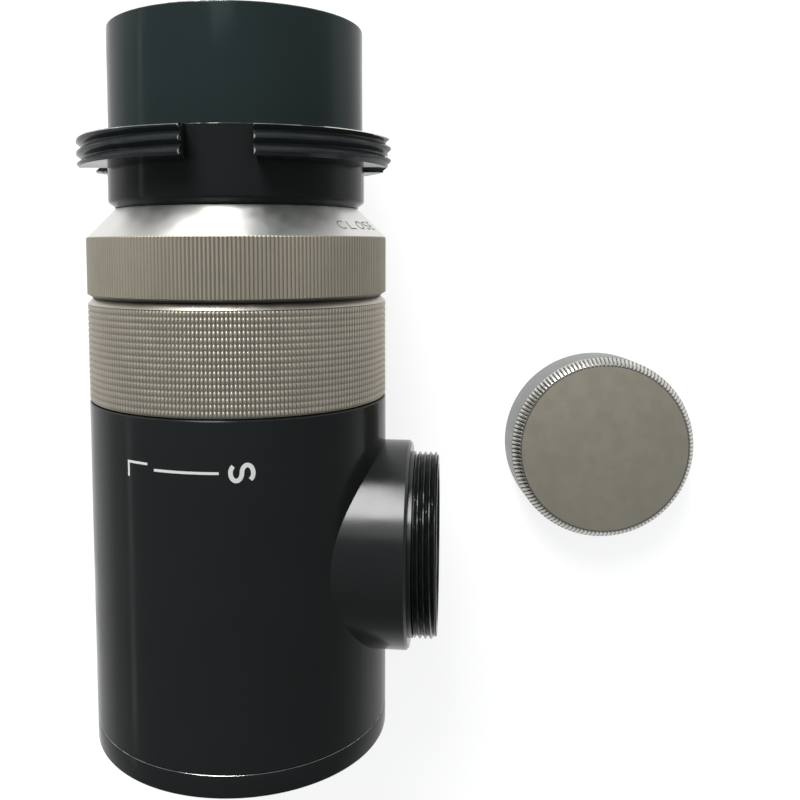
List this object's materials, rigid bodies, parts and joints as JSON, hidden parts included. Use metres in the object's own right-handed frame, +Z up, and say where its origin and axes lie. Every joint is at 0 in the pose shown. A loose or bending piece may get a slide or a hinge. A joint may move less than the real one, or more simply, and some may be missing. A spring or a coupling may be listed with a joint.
{
  "type": "telescope relay barlow adapter",
  "caption": "Relay barlow adapter: black barrel, 2-inch nosepiece with interrupted-thread flange, knurled focus and lock rings, threaded side port and its loose cap.",
  "frame": {"origin": "on the optical axis at the barrel's rear face, where its female thread begins", "axes": "+X along the optical axis towards the nosepiece, -Y towards the side port, +Z up; the barrel lies on its side on the plane Z = -30.86 mm, as the cap beside it does"},
  "size_m": [0.1422, 0.1339, 0.0618],
  "materials": {
    "black_anodised": "semi-gloss black anodising with slightly worn edges",
    "black_inner": "matte black",
    "silver_knurl": "satin, knurled",
    "silver_cap": "fine matte, blasted",
    "brass": "turned",
    "steel": "plain",
    "lens_glass": "polished, coated",
    "black_rubber": "matte",
    "black_plastic": "matte",
    "felt": "felt"
  },
  "bodies": {
    "barrel": {"main_barrel": "black_anodised", "rear_end_ring": "black_anodised", "rear_lens": "lens_glass", "rear_lens_retainer": "black_inner", "rear_baffle": "black_inner", "side_port_collar": "black_anodised", "collar_screws": "steel", "side_port_nipple": "black_anodised", "port_window": "lens_glass", "port_window_retainer": "black_inner", "prism_cage": "black_inner", "prism_rear_half": "lens_glass", "prism_front_half": "lens_glass", "prism_pads": "black_rubber", "prism_cover_upper": "black_inner", "prism_cover_lower": "black_inner", "cover_screws": "steel", "cage_lock_ring": "black_inner", "cam_sleeve": "brass", "adjust_o_ring": "black_rubber", "thrust_washer": "black_plastic", "front_hub": "black_inner", "hub_screws": "steel", "lock_stop_pin": "steel", "collet": "brass"},
    "focus": {"adjust_ring": "silver_knurl"},
    "lens": {"lens_cell": "black_inner", "crown_element": "lens_glass", "flint_element": "lens_glass", "cell_retainer": "black_inner", "cam_pins": "brass"},
    "lock": {"lock_ring": "silver_knurl"},
    "nose": {"nosepiece_base": "black_anodised", "nosepiece_tube": "black_anodised", "nose_lens": "lens_glass", "nose_lens_retainer": "black_inner", "spigot_clip": "steel"},
    "cap": {"port_cap": "silver_cap", "cap_liner": "felt"}
  },
  "joints": [
    {"name": "focus_turn", "type": "hinge", "parent": "barrel", "child": "focus", "pos_m": [0.079, 0, 0], "axis": [1, 0, 0], "range_deg": [-39, 0]},
    {"name": "lens_travel", "type": "slide", "parent": "focus", "child": "lens", "axis": [1, 0, 0], "range_m": [0, 0.00801]},
    {"name": "lock_turn", "type": "hinge", "parent": "barrel", "child": "lock", "pos_m": [0.098, 0, 0], "axis": [1, 0, 0], "range_deg": [0, 60]},
    {"name": "nose_swivel", "type": "hinge", "parent": "barrel", "child": "nose", "pos_m": [0.115, 0, 0], "axis": [1, 0, 0], "continuous": true},
    {"name": "cap_lift", "type": "slide", "parent": "barrel", "child": "cap", "axis": [0, 0, 1], "range_m": [0, 0.05]}
  ],
  "couplings": [
    {"joint": "lens_travel", "follows": "focus_turn", "m_per_rad": -0.011753}
  ]
}
